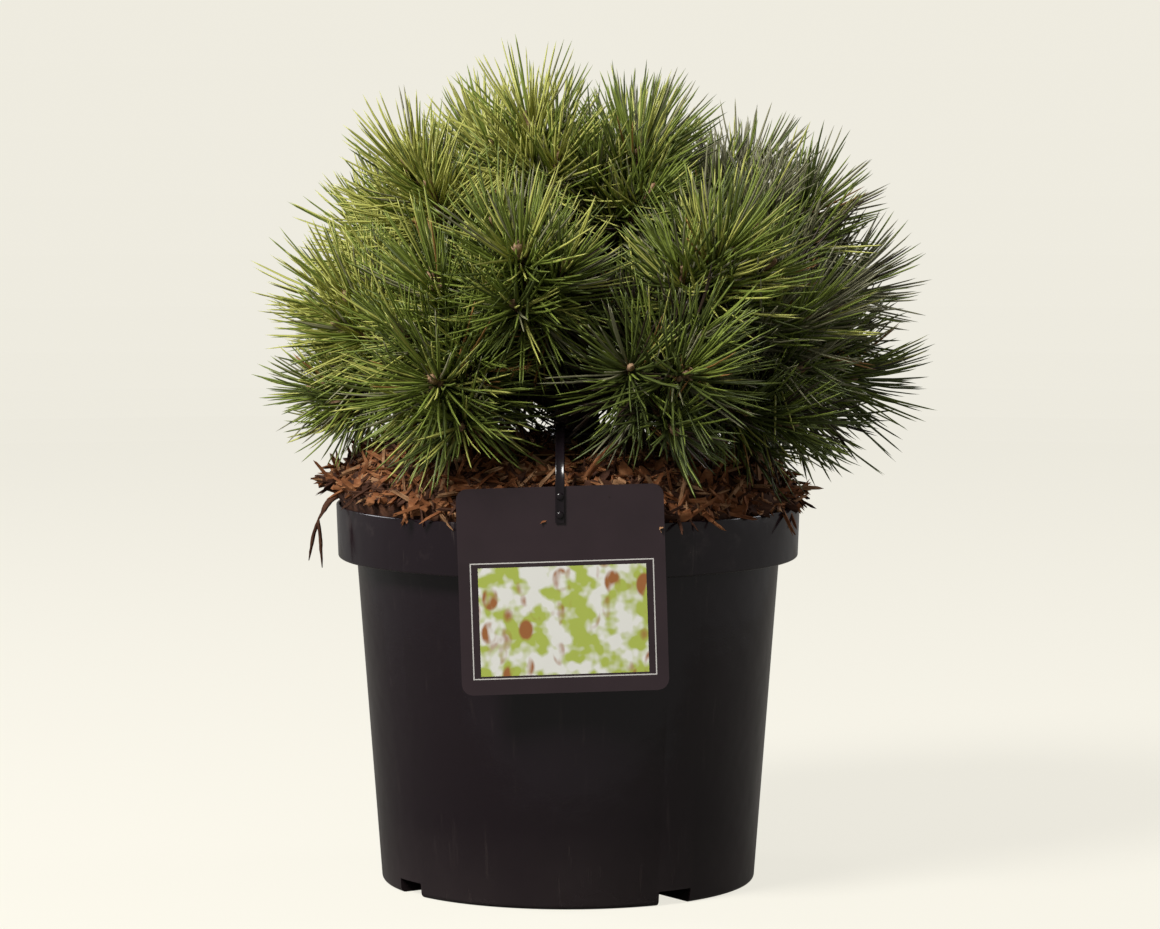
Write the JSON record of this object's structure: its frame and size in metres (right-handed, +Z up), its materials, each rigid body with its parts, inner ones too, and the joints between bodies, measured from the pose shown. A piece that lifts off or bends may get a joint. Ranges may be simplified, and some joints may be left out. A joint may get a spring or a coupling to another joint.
{
  "type": "potted dwarf pine",
  "caption": "Compact dwarf pine with tufts of long paired needles, growing in a round black nursery pot topped with bark mulch, with a square hanging label.",
  "frame": {"origin": "centre of the pot's flat underside, on the ground", "axes": "+Z up along the pot's axis, -Y towards the front where the label hangs, +X to the right seen from the front"},
  "size_m": [0.3745, 0.388, 0.4727],
  "materials": {
    "pot": "semi-gloss black with a plum tint, lightly scuffed",
    "mulch": "loose orange-brown bark chips and fibres",
    "bark": "rough dark brown bark with leaf scale stubs",
    "needles": "satin green needles, yellow-green where fresh",
    "label_card": "smooth printed card, dark with a pale framed panel",
    "strap": "glossy black plastic"
  },
  "bodies": {
    "root": {"pot": "pot", "potting_mix": "mulch", "trunk": "bark", "label": "label_card", "label_strap": "strap", "bough_top_centre": "bark", "bough_top_right": "bark", "bough_top_back_left": "bark", "bough_top_back": "bark", "bough_top_left": "bark", "bough_front_centre": "bark", "bough_right_upper": "bark", "bough_back_upper_right": "bark", "bough_back_upper_left": "bark", "bough_left_back_upper": "bark", "bough_left_front": "bark", "bough_right_front": "bark", "bough_right_middle": "bark", "bough_back_middle": "bark", "bough_left_foot": "bark", "bough_right_front_low": "bark", "bough_right_lower": "bark", "bough_back_left": "bark", "bough_back_foot_right": "bark", "bough_back_foot_left": "bark", "bough_top_back_right": "bark", "bough_left_upper": "bark", "bough_left_lower": "bark", "bough_right_front_mid": "bark", "bough_right_foot": "bark", "bough_back_right": "bark", "mass_top_centre": "needles", "mass_top_right": "needles", "mass_top_back_left": "needles", "mass_top_back": "needles", "mass_top_left": "needles", "mass_front_centre": "needles", "mass_right_upper": "needles", "mass_back_upper_right": "needles", "mass_back_upper_left": "needles", "mass_left_back_upper": "needles", "mass_left_front": "needles", "mass_right_front": "needles", "mass_right_middle": "needles", "mass_back_middle": "needles", "mass_left_foot": "needles", "mass_right_front_low": "needles", "mass_right_lower": "needles", "mass_back_left": "needles", "mass_back_foot_right": "needles", "mass_back_foot_left": "needles", "mass_top_back_right": "needles", "mass_left_upper": "needles", "mass_left_lower": "needles", "mass_right_front_mid": "needles", "mass_right_foot": "needles", "mass_back_right": "needles"}
  },
  "joints": []
}
